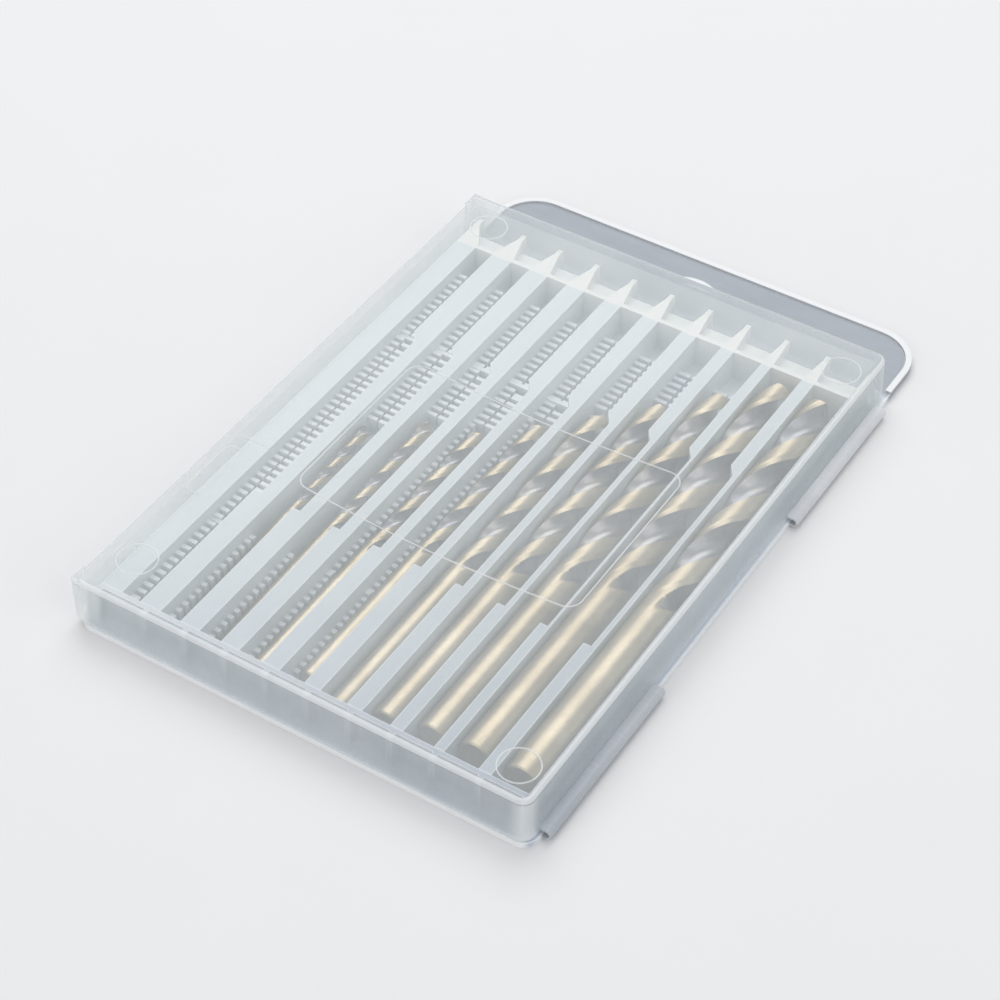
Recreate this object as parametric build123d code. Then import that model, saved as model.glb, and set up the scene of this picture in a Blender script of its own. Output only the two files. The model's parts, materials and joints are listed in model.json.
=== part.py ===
"""Flat drill bit case: base plate with end flap, comb rack, hinged lid and nine twist drills.

Millimetres. Built with the lid's front left corner near (0, 0) and the table at z = 0, then
moved so that the origin is the centre of the footprint. +X runs across the drills, +Y from
the shanks to the tips and the flap, +Z up.
"""
from build123d import *
import math
import os

# Twist drills: diameter, overall length, flute length, and the gap in front of the butt
drills = (
    (2.0, 49.0, 24.0, 3.5),
    (2.5, 57.0, 30.0, 1.7),
    (3.0, 61.0, 33.0, 0.3),
    (3.3, 65.0, 36.0, 3.2),
    (4.0, 75.0, 43.0, 0.4),
    (4.5, 80.0, 47.0, 2.1),
    (5.0, 86.0, 52.0, 3.2),
    (5.5, 93.0, 57.0, 3.3),
    (6.0, 93.0, 57.0, 2.9),
)
first_drill_channel = 2
point_angle = 118.0
helix_lead = 5.44           # lead of the flutes over the diameter, for a 30 degree helix
web_ratio = 0.24            # core thickness over the diameter
flute_radius_ratio = 0.42
land_steps = 2              # straight steps across a land, round a flute and along one turn
flute_steps = 3
turn_steps = 8
run_out = 1.2               # length over which a flute reaches its depth, over the diameter
run_out_depth = 0.1         # share of the depth at its start
land_relief = 0.03          # the lands are this much inside the shank's radius
shank_lap = 0.4             # the shank runs this far over the start of the flutes
bed_gap = 0.1               # under a drill
side_gap = 0.15             # beside a drill
drift_from = 3.0            # drills thinner than this lie askew
drift_rate = 1.4
raise_from = 3.6            # and thinner than this ride up towards the tip
raise_rate = 0.78

# Walls of the moulding
plate_thickness = 1.0
lid_wall = 1.5
lid_roof = 1.2

# Comb rack
channels = 10
channel_pitch = 7.5
first_right_wall = 9.5      # right wall of channel 1 beside the shanks
first_slot_width = 3.5
slot_growth = 0.23          # each channel is this much wider than the one before
last_shift = 0.9            # the last channel stands this much further right
last_wall_thickness = 0.5
rib_top = 6.5
thin_rib = 0.4              # what the flutes' extra width leaves of the rib before channel 9
rail_gap = 0.7              # between the lid's walls and the rack: left, front, rear, right
rack_front_gap = 0.4
rack_rear_gap = 0.6
rack_side_gap = 0.1
rack_corner_round = 1.0
front_bay = 2.1             # from the rack's front to the start of the slots
rear_bay = 7.4              # and from their end to its rear
slot_play = 4.5             # how much longer the slots are than the longest drill
shank_zone = 28.5           # the ribs step back this far along the slots
tip_zone = 26.0             # and slant in again this far before their end
tip_zone_slant = 2.0
tip_inset = 0.1             # less width beside the tips than beside the shanks
end_wall = 0.9              # closes each slot at its two ends
end_rib_thickness = 0.9     # ribs run on as thin walls in front of and behind the slots
rear_rib_taper = 5.0        # behind the slots they narrow to that over this length
cross_wall_top = 3.8
cross_wall_thickness = 0.8
front_cross_wall = 21.6     # along the slots
rear_cross_wall = 2.2       # after the tip zone's start
ledge_gap = 2.5             # between the slots' end and the ledge in the rear bay
ledge_length = 2.5
ledge_top = 4.6

# Comb teeth
tooth_pitch = 1.57
tooth_thickness = 0.75
tooth_root = 0.5            # height of the floor between the teeth above the plate
comb_top_first = 4.2        # top of the teeth in channel 1
comb_top_drop = 0.2         # and how much lower in each channel after it
comb_gap = 0.4              # between the two rows of one channel
comb_rear_gap = 4.5         # between the rows and the rear end of their slot
comb_lane_gap = 0.15        # between a drill and the teeth beside it
comb_min_width = 0.6        # a row narrower than this is left out

# Lid
head_room = 1.5             # between the thickest drill and the roof
lid_draft = 0.4             # how far each wall leans out down to the rim
lid_edge_round = 0.9        # outer top edge
lid_corner_round = 2.2      # vertical corners, at the rim
lid_plate_gap = 0.3         # rim above the plate
post_length = 2.9           # corner posts on the opening side
post_proud = 0.5
post_bevel = 0.4            # upright outer corners of the posts
lug_width = 5.7             # small rounded lug on the rear wall
lug_proud = 0.7
lug_height = 2.0
lug_offset = 4.5            # right of the lid's middle

# Snap catch: a bead inside the lid's opening side that rests just under a bead on the rack
catch_length = 18.0
catch_offset = -0.5         # from the middle of the lid's length
catch_gap = 0.1             # between the two tips, across and up
catch_z = 1.8
catch_height = 0.9

# Flap and edges of the plate
plate_overhang = 0.9        # plate beyond the lid's top edge on the hinge side
plate_front = 0.5           # plate ahead of the lid's top edge
flap_length = 15.0          # plate behind the lid
plate_front_round = 2.8
flap_round = 8.0
flap_rim_width = 1.0
flap_rim_height = 0.4
flap_rim_gap = 0.6          # between the lid's rear wall and the ends of the flap rim

# Living hinge on the right
pivot_reach = 0.6           # hinge axis beyond the plate's edge
web_thickness = 0.35
web_outer = 0.85            # outer radius of the fold
web_top_lap = 0.35          # straight part of the fold on the lid's side
web_front_inset = 2.7       # strips from the lid's ends, and their lengths
web_rear_inset = 3.8
web_front_length = 32.0
web_rear_length = 30.9

cut_past = 1.0              # how far a cutting shape runs past what it cuts

# Derived sizes
last_wall = first_right_wall + channel_pitch * (channels - 1) + last_shift
rack_right = last_wall + last_wall_thickness
rack_front = lid_wall + rack_front_gap
rail_left = lid_wall + rail_gap
slot_start = rack_front + front_bay
slot_end = slot_start + max(length for _, length, _, _ in drills) + slot_play
rack_rear = slot_end + rear_bay
shank_zone_end = slot_start + shank_zone
tip_zone_start = slot_end - tip_zone
cross_walls = (slot_start + front_cross_wall, tip_zone_start + rear_cross_wall)
ledge_start = slot_end + ledge_gap
lid_width = rack_right + rack_side_gap + lid_wall
lid_length = rack_rear + rack_rear_gap + lid_wall
lid_top = plate_thickness + bed_gap + max(size[0] for size in drills) + head_room + lid_roof
catch_reach = (lid_wall - lid_draft + rail_left) / 2
rim_z = plate_thickness + lid_plate_gap
roof_z = lid_top - lid_roof
draft_angle = math.degrees(math.atan(lid_draft / (lid_top - rim_z)))
plate_right = lid_width + plate_overhang
plate_rear = lid_length + flap_length
pivot_x = plate_right + pivot_reach
pivot_z = plate_thickness + lid_plate_gap / 2
floor_z = plate_thickness
left_reach = max(post_proud, lid_draft)
centre_x = (pivot_x + web_outer - left_reach) / 2
centre_y = (plate_rear - plate_front) / 2
to_origin = Pos(-centre_x, -centre_y, 0)


def block(x0, x1, y0, y1, z0, z1):
    """A straight block between two corners."""
    return Pos((x0 + x1) / 2, (y0 + y1) / 2, (z0 + z1) / 2) * Box(x1 - x0, y1 - y0, z1 - z0)


def rounded_plan(x0, x1, y0, y1, front_round, rear_round):
    """A plan outline with one radius on the front corners and one on the rear."""
    plan = Pos((x0 + x1) / 2, (y0 + y1) / 2) * Rectangle(x1 - x0, y1 - y0)
    corners = plan.vertices().sort_by(Axis.Y)
    plan = fillet(corners[:2], front_round)
    return fillet(plan.vertices().sort_by(Axis.Y)[-2:], rear_round)


def slot_right(n):
    """Right wall of channel n beside the shanks."""
    return last_wall if n == channels else first_right_wall + channel_pitch * (n - 1)


def slot_width(n):
    """Width of channel n beside the shanks: enough for its drill."""
    width = first_slot_width + slot_growth * (n - 1)
    drill = drill_in(n)
    return max(width, drill.diameter + 2 * side_gap) if drill else width


def slot_left(n):
    return slot_right(n) - slot_width(n)


def right_at(n, y):
    """Right wall of channel n at y: it steps out beside the flutes and in beside the tips."""
    if y < shank_zone_end:
        return slot_right(n)
    shank_step = channel_pitch - slot_width(channels - 1) - thin_rib
    step = shank_step if y < tip_zone_start else -tip_inset
    return min(slot_right(n) + step, last_wall)


def comb_top(n):
    """Top of the teeth of channel n."""
    return comb_top_first - comb_top_drop * (n - 1)


# Base plate with flap -------------------------------------------------------------------------

def make_base_plate():
    plan = rounded_plan(0, plate_right, -plate_front, plate_rear, plate_front_round, flap_round)
    plate = extrude(plan, plate_thickness)
    rim_start = lid_length + lid_draft + flap_rim_gap
    inner = rounded_plan(flap_rim_width, plate_right - flap_rim_width, -plate_front,
                         plate_rear - flap_rim_width, plate_front_round,
                         flap_round - flap_rim_width)
    ring = Pos(0, 0, plate_thickness) * extrude(plan - inner, flap_rim_height)
    ring &= block(-cut_past, plate_right + cut_past, rim_start, plate_rear + cut_past, 0, lid_top)
    return plate + ring


# Comb rack ------------------------------------------------------------------------------------

def slot_plan(n):
    """Outline of channel n: wider beside the flutes, slanting in again beside the tips."""
    left = slot_left(n)
    right = slot_right(n)
    wide = right_at(n, shank_zone_end)
    narrow = right_at(n, tip_zone_start)
    slant_end = tip_zone_start + tip_zone_slant
    corners = [(left, slot_start), (right, slot_start), (right, shank_zone_end),
               (wide, shank_zone_end), (wide, tip_zone_start), (narrow, slant_end),
               (narrow, slot_end), (left, slot_end)]
    distinct = [c for i, c in enumerate(corners) if c != corners[i - 1]]
    return make_face(Polyline(*distinct, close=True))


def rib_middle(n):
    """Middle of the rib on the right of channel n."""
    return (slot_right(n) + slot_left(n + 1)) / 2


def end_bay(n, y0, y1, taper):
    """The open bay beyond channel n between two ribs, which may taper along y before it."""
    half = end_rib_thickness / 2
    left = rib_middle(n - 1) + half if n > 1 else rail_left + end_rib_thickness
    right = rib_middle(n) - half if n < channels else last_wall
    corners = [(left, y1), (left, y0 + taper), (slot_left(n), y0), (right_at(n, y0), y0),
               (right, y0 + taper), (right, y1)]
    if not taper:
        corners = [(left, y1), (left, y0), (right, y0), (right, y1)]
    return make_face(Polyline(*corners, close=True))


def make_walls():
    """The rack's moulded walls: its two end walls, and the rail, ribs and wall between them."""
    numbers = range(1, channels + 1)
    plan = rounded_plan(rail_left, rack_right, rack_front, rack_rear, rack_corner_round,
                        rack_corner_round)
    plan -= [slot_plan(n) for n in numbers]
    plan -= [end_bay(n, rack_front - cut_past, slot_start - end_wall, 0) for n in numbers]
    plan -= [end_bay(n, slot_end + end_wall, rack_rear + cut_past, rear_rib_taper)
             for n in numbers]
    walls = Pos(0, 0, floor_z) * extrude(plan, rib_top - floor_z)
    front = walls & block(0, lid_width, 0, slot_start, 0, lid_top)
    rear = walls & block(0, lid_width, slot_end, lid_length, 0, lid_top)
    rear += block(rail_left, rack_right, ledge_start, ledge_start + ledge_length, floor_z,
                  ledge_top)
    between = walls & block(0, lid_width, slot_start, slot_end, 0, lid_top)
    rail, *ribs, right = between.solids().sort_by(Axis.X)
    return front, rear, rail + make_rail_bead(), ribs, right


def make_rail_bead():
    low = catch_z + catch_height + catch_gap
    return bead(rail_left, catch_reach + catch_gap, low, low + catch_height)


def comb_row(x0, x1, y0, y1, top):
    """One row of upright teeth on a low root, running along y."""
    count = int((y1 - y0 - tooth_thickness) // tooth_pitch) + 1
    root = floor_z + tooth_root
    outline = [(y0, floor_z), (y0, top)]
    for i in range(count):
        foot = y0 + i * tooth_pitch
        if i:
            outline += [(foot, root), (foot, top)]
        outline += [(foot + tooth_thickness, top), (foot + tooth_thickness, root)]
    outline += [(y1, root), (y1, floor_z)]
    side = Plane.YZ.offset(x0) * make_face(Polyline(*outline, close=True))
    return extrude(side, x1 - x0)


def row_pair(n, y0, y1):
    """Both rows of channel n, against its ribs, with a narrow gap between them."""
    left = slot_left(n)
    middle = (left + slot_right(n)) / 2
    top = comb_top(n)
    step = min(max(tip_zone_start, y0), y1)
    rows = [comb_row(left, middle - comb_gap / 2, y0, y1, top)]
    for start, end in ((y0, step), (step, y1)):
        if end - start > tooth_pitch:
            rows.append(comb_row(middle + comb_gap / 2, right_at(n, start), start, end, top))
    rows.append(block(left, slot_right(n) - tip_inset, y0, y1, floor_z, floor_z + tooth_root))
    return rows


def make_combs(n):
    """The teeth and low cross walls of channel n: one row beside the drill, two past its tip.

    Returns its separate stretches, the front one first.
    """
    drill = drill_in(n)
    left = slot_left(n)
    pieces = []
    walls = (slot_start, *cross_walls, slot_end - comb_rear_gap)
    for start, end in zip(walls, walls[1:]):
        y0 = start + (cross_wall_thickness if start in cross_walls else 0)
        tip = drill.tip_y + tooth_pitch if drill else y0
        beside = min(max(tip, y0), end)
        clear = drill.left_side(beside) - comb_lane_gap if drill else left
        if beside - y0 > tooth_pitch and clear - left >= comb_min_width:
            pieces.append(comb_row(left, clear, y0, beside, comb_top(n)))
        if end - beside > tooth_pitch:
            pieces += row_pair(n, beside, end)
        if start in cross_walls:
            right = right_at(n, start)
            if drill and drill.tip_y > start - comb_lane_gap:
                right = drill.left_side(y0) - comb_lane_gap
            if right - left >= comb_min_width:
                pieces.append(block(left, right, start, y0, floor_z, cross_wall_top))
    return (Part() + pieces).solids().sort_by(Axis.Y)


# Lid ------------------------------------------------------------------------------------------

def make_lid():
    height = lid_top - rim_z
    plan = rounded_plan(-lid_draft, lid_width + lid_draft, -lid_draft, lid_length + lid_draft,
                        lid_corner_round, lid_corner_round)
    shell = Pos(0, 0, rim_z) * extrude(plan, height, taper=draft_angle)
    shell = fillet(shell.faces().sort_by(Axis.Z)[-1].edges(), lid_edge_round)
    inset = lid_wall - lid_draft
    hollow_plan = Pos(lid_width / 2, lid_length / 2) \
        * Rectangle(lid_width - 2 * inset, lid_length - 2 * inset)
    hollow = Pos(0, 0, rim_z) * extrude(hollow_plan, roof_z - rim_z, taper=draft_angle)
    return shell - hollow + make_posts(height) + make_lug() + make_lid_bead()


def make_posts(height):
    """Upright corner posts that stand a little proud of the opening side."""
    wall = block(-post_proud, lid_wall, 0, lid_length, rim_z, lid_top)
    outer = wall.edges().filter_by(Axis.Y).group_by(Axis.X)[0].sort_by(Axis.Z)[-1]
    wall = fillet(outer, lid_edge_round)
    outer = wall.edges().filter_by(Axis.Z).group_by(Axis.X)[0]
    wall = chamfer(outer, post_bevel)
    keep = block(-cut_past, lid_wall - lid_draft, 0, post_length, 0, lid_top)
    return wall & (keep + Pos(0, lid_length - post_length, 0) * keep)


def bead(wall, tip, z0, z1):
    """A low triangular bead along the opening side, from a wall's face to its tip."""
    side = Plane.XZ * make_face(Polyline((wall, z0), (tip, (z0 + z1) / 2), (wall, z1), close=True))
    end = (lid_length + catch_length) / 2 + catch_offset
    return Pos(0, end, 0) * extrude(side, catch_length)


def make_lid_bead():
    return bead(lid_wall - lid_draft, catch_reach, catch_z, catch_z + catch_height)


def make_lug():
    """The rounded lug at the top of the rear wall: a slice of an upright disc."""
    radius = lug_width ** 2 / (8 * lug_proud) + lug_proud / 2
    lug_centre = lid_width / 2 + lug_offset
    disc = Pos(lug_centre, lid_length + lug_proud - radius, lid_top - lug_height) \
        * extrude(Circle(radius), lug_height - lid_edge_round / 2)
    keep = block(lug_centre - lug_width, lug_centre + lug_width, lid_length - lid_wall / 2,
                 lid_length + lug_proud, 0, lid_top)
    return disc & keep


# Living hinge ---------------------------------------------------------------------------------

def make_web(start, end):
    """A folded strip: flat on the plate's edge, round the hinge axis, up beside the lid."""
    mid = web_outer - web_thickness / 2
    low = pivot_z - mid
    path = Polyline((plate_right, low), (pivot_x, low)) \
        + CenterArc((pivot_x, pivot_z), mid, -90, 180) \
        + Line((pivot_x, pivot_z + mid), (pivot_x - web_top_lap, pivot_z + mid))
    side = Plane.XZ * trace(path, web_thickness)
    keep = block(plate_right, pivot_x + web_outer, start, end, 0, lid_top)
    return Pos(0, end, 0) * extrude(side, end - start) & keep


# Twist drills ---------------------------------------------------------------------------------

class Drill:
    """One twist drill: its sizes, where it lies in its channel, and its solid."""

    def __init__(self, n, diameter, length, flute, front_gap):
        self.n = n
        self.diameter = diameter
        self.length = length
        self.flute = flute
        self.radius = diameter / 2
        self.drift = max(0.0, drift_from - diameter) * drift_rate
        self.rise = max(0.0, raise_from - diameter) * raise_rate
        self.run = math.sqrt(length ** 2 - self.drift ** 2 - self.rise ** 2)
        self.butt_x = slot_right(n) - self.radius - side_gap
        self.butt_y = slot_start + front_gap
        self.butt_z = floor_z + bed_gap + self.radius
        self.tip_y = self.butt_y + self.run

    def left_side(self, y):
        """The leftmost x that the drill reaches up to y."""
        share = min(1.0, 1 - (self.tip_y - y) / self.length)
        return self.butt_x - self.drift * share - self.radius

    def outline(self, depth):
        """Points round the section: two lands, with a round flute of this depth after each."""
        land = self.radius - land_relief
        bite = self.diameter * flute_radius_ratio
        core = land - depth * (land - self.diameter * web_ratio / 2)
        offset = core + bite
        y = (land ** 2 - bite ** 2 + offset ** 2) / (2 * offset)
        x = math.sqrt(land ** 2 - y ** 2)
        land_end = math.atan2(y, x)
        flute_start = math.atan2(y - offset, x)
        flute_sweep = -math.pi - 2 * flute_start
        half = []
        for i in range(land_steps + 1):
            angle = land_end * (2 * i / land_steps - 1)
            half.append((land * math.cos(angle), land * math.sin(angle)))
        for i in range(1, flute_steps):
            angle = flute_start + flute_sweep * i / flute_steps
            half.append((bite * math.cos(angle), offset + bite * math.sin(angle)))
        return half + [(-x, -y) for x, y in half]

    def ring(self, along, ground):
        """The section this far up the flutes, turned to its place; ground back to the point."""
        ramp = min(1.0, along / (run_out * self.diameter))
        slope = 1 / math.tan(math.radians(point_angle / 2)) if ground else 0.0
        points = []
        for x, y in self.outline(run_out_depth + (1 - run_out_depth) * ramp):
            height = along - slope * math.hypot(x, y)
            turn = 2 * math.pi * height / (helix_lead * self.diameter)
            points.append(Vector(x * math.cos(turn) - y * math.sin(turn),
                                 x * math.sin(turn) + y * math.cos(turn),
                                 self.length - self.flute + height))
        return points

    def flutes(self):
        """The fluted body and its point: flat facets from each ring of the section to the next."""
        steps = math.ceil(self.flute / (helix_lead * self.diameter) * turn_steps)
        rings = [self.ring(self.flute * i / steps, i == steps) for i in range(steps + 1)]
        tip = Vector(0, 0, self.length)
        corners = [rings[0]]
        for low, high in zip(rings, rings[1:]):
            for i in range(len(low)):
                corners.append((low[i - 1], low[i], high[i - 1]))
                corners.append((low[i], high[i], high[i - 1]))
        for i in range(len(rings[-1])):
            corners.append((rings[-1][i - 1], rings[-1][i], tip))
        body = Solid(Shell([Face(Wire.make_polygon(c, close=True)) for c in corners]))
        return body if body.volume > 0 else Solid(body.wrapped.Reversed())

    def solid(self):
        """Round shank and fluted body along +Z from the butt."""
        shank = Solid.make_cylinder(self.radius, self.length - self.flute + shank_lap)
        return Part(shank.fuse(self.flutes()).wrapped)

    def placed(self):
        """The drill laid in its channel, butt to the front."""
        axis = Plane(origin=(self.butt_x, self.butt_y, self.butt_z), x_dir=(1, 0, 0),
                     z_dir=(-self.drift, self.run, self.rise))
        return axis * self.solid()


all_drills = [Drill(n, *sizes) for n, sizes in enumerate(drills, start=first_drill_channel)]


def drill_in(n):
    """The drill of channel n, or None for the empty first channel."""
    return next((d for d in all_drills if d.n == n), None)


def drill_name(drill):
    return f"drill_bit_{drill.diameter:.1f}mm".replace(".", "_")


def write(name, solid):
    shape = to_origin * solid
    shape.label = name
    export_step(shape, f"parts/{name}.step")


def main():
    os.makedirs("parts", exist_ok=True)
    write("base_plate", make_base_plate())
    front, rear, rail, ribs, right = make_walls()
    write("rack_front_wall", front)
    write("rack_rear_wall", rear)
    write("rack_left_rail", rail)
    write("rack_right_wall", right)
    for n, rib in enumerate(ribs, start=1):
        write(f"rack_rib_{n}", rib)
    for n in range(1, channels + 1):
        for comb, place in zip(reversed(make_combs(n)), ("", "_front")):
            write(f"comb_{n}{place}", comb)
    write("lid", make_lid())
    web_rear_end = lid_length - web_rear_inset
    write("hinge_web_front", make_web(web_front_inset, web_front_inset + web_front_length))
    write("hinge_web_rear", make_web(web_rear_end - web_rear_length, web_rear_end))
    for drill in all_drills:
        write(drill_name(drill), drill.placed())


if __name__ == "__main__":
    main()
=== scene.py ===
"""Dresses the drill bit case: frosted lid, comb rack, folded hinge strips, twist drills.

Everything is built in metres in the frame of the solids. Sizes in the classes are in
millimetres and counted from the lid's front left corner, as a mould maker would
dimension the case.
"""

import json
import logging
import math
from dataclasses import dataclass, field
from enum import Enum
from typing import Any, Iterable, Optional, Sequence, Union

import bmesh
import bpy
from mathutils import Matrix, Vector

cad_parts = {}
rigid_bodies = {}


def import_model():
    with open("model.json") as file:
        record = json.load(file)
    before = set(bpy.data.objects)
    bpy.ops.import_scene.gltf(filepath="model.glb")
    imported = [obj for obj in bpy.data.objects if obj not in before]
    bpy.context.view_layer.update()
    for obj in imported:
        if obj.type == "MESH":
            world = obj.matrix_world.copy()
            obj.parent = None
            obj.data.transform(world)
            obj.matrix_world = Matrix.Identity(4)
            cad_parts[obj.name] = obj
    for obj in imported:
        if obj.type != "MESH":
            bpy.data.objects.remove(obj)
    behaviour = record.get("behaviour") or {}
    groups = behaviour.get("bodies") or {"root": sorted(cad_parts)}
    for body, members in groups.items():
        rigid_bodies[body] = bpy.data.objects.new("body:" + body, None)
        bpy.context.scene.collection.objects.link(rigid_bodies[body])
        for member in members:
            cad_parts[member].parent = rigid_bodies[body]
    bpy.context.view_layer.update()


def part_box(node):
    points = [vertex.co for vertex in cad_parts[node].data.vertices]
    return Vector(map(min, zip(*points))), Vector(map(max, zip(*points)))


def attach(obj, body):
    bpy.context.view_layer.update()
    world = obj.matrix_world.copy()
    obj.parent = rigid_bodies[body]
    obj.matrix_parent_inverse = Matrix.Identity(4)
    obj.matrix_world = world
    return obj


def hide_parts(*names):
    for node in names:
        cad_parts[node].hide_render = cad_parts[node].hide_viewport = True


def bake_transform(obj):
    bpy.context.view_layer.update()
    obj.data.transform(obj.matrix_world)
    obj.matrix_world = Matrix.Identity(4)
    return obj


logging.basicConfig(level=logging.INFO, format="%(message)s")
LOG = logging.getLogger("drill_case")

Flat = tuple[float, float]
Triple = tuple[float, float, float]
Colour = Triple
Face = tuple[int, ...]
Value = Union[float, "Signal"]

MM = 0.001
CASE_CENTRE = Vector((40.925, 62.75, 0.0))
UP = Vector((0.0, 0.0, 1.0))
FULL_TURN = 2 * math.pi
WHITE: Colour = (1.0, 1.0, 1.0)
PLASTIC_IOR = 1.49
PORE_DEPTH = 0.02 * MM
RING_DEPTH = 0.01 * MM
MERGE_DISTANCE = 0.001 * MM


def place(x: float, y: float, z: float) -> Vector:
    """Turn case millimetres into scene metres.

    Args:
        x: Distance from the lid's left wall.
        y: Distance from the lid's front wall.
        z: Height above the table.

    Returns:
        The point in the frame of the solids.
    """
    return (Vector((x, y, z)) - CASE_CENTRE) * MM


# Shader building


class Signal:
    """A socket's value, with operators that add Math nodes."""

    def __init__(self, sheet: "NodeSheet", socket: bpy.types.NodeSocket) -> None:
        """Wrap an output socket of a sheet."""
        self.sheet = sheet
        self.socket = socket

    def _math(self, operation: str, *values: Value) -> "Signal":
        """Add a Math node with these inputs."""
        return self.sheet.node("ShaderNodeMath", {"operation": operation},
                               dict(enumerate(values)))

    def __add__(self, other: Value) -> "Signal":
        """Sum."""
        return self._math("ADD", self, other)

    def __radd__(self, other: Value) -> "Signal":
        """Sum with a number on the left."""
        return self._math("ADD", other, self)

    def __sub__(self, other: Value) -> "Signal":
        """Difference."""
        return self._math("SUBTRACT", self, other)

    def __rsub__(self, other: Value) -> "Signal":
        """Difference from a number on the left."""
        return self._math("SUBTRACT", other, self)

    def __mul__(self, other: Value) -> "Signal":
        """Product."""
        return self._math("MULTIPLY", self, other)

    def __rmul__(self, other: Value) -> "Signal":
        """Product with a number on the left."""
        return self._math("MULTIPLY", other, self)

    def __pow__(self, other: Value) -> "Signal":
        """Power."""
        return self._math("POWER", self, other)

    def __rpow__(self, other: Value) -> "Signal":
        """Power of a number on the left."""
        return self._math("POWER", other, self)

    def __abs__(self) -> "Signal":
        """Size without its sign."""
        return self._math("ABSOLUTE", self)

    def or_more(self, other: Value) -> "Signal":
        """The larger of two values."""
        return self._math("MAXIMUM", self, other)

    def ramp(self, low: float, high: float) -> "Signal":
        """Rise smoothly from 0 to 1 between two values.

        Args:
            low: Where the rise starts.
            high: Where it ends.

        Returns:
            The smooth step.
        """
        settings = {"interpolation_type": "SMOOTHSTEP"}
        inputs = {"Value": self, "From Min": low, "From Max": high}
        return self.sheet.node("ShaderNodeMapRange", settings, inputs)

    def clamped(self) -> "Signal":
        """Keep the value between 0 and 1."""
        return self.sheet.node("ShaderNodeClamp", {}, {"Value": self})


class NodeSheet:
    """A node tree that starts empty and is written as expressions."""

    def __init__(self, tree: bpy.types.NodeTree) -> None:
        """Empty the tree and keep it."""
        self.tree = tree
        tree.nodes.clear()

    def feed(self, socket: bpy.types.NodeSocket, value: Any) -> None:
        """Link a signal to a socket, or set the socket's value.

        Args:
            socket: The input socket.
            value: A signal, a number, a vector, or a colour of three numbers.
        """
        if isinstance(value, Signal):
            self.tree.links.new(value.socket, socket)
        elif isinstance(value, tuple) and len(socket.default_value) == 4:
            socket.default_value = (*value, 1.0)
        else:
            socket.default_value = value

    def node(self, kind: str, settings: dict[str, Any], inputs: dict[Any, Any],
             output: Union[int, str] = 0) -> Signal:
        """Add a node.

        Args:
            kind: The node's type.
            settings: Its properties, set before its sockets are used.
            inputs: Values or signals by socket name or number.
            output: The output wanted.

        Returns:
            That output as a signal.
        """
        made = self.tree.nodes.new(kind)
        for key, value in settings.items():
            setattr(made, key, value)
        for key, value in inputs.items():
            self.feed(made.inputs[key], value)
        return Signal(self, made.outputs[output])

    def ray(self, kind: str) -> Signal:
        """Whether a ray is of one kind, such as Is Camera Ray."""
        return self.node("ShaderNodeLightPath", {}, {}, kind)

    def mixed(self, share: Value, first: Signal, second: Signal) -> Signal:
        """Fade from one shader to another."""
        return self.node("ShaderNodeMixShader", {}, {"Fac": share, 1: first, 2: second})


@dataclass(frozen=True)
class Grain:
    """A noise pattern: its lumps per metre, its octaves and how strong the fine ones are.

    A pattern that is drawn out has its lumps per metre along each axis in stretch.
    """

    scale: float = 1.0
    detail: float = 3.0
    rough: float = 0.5
    stretch: Optional[Triple] = None


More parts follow.
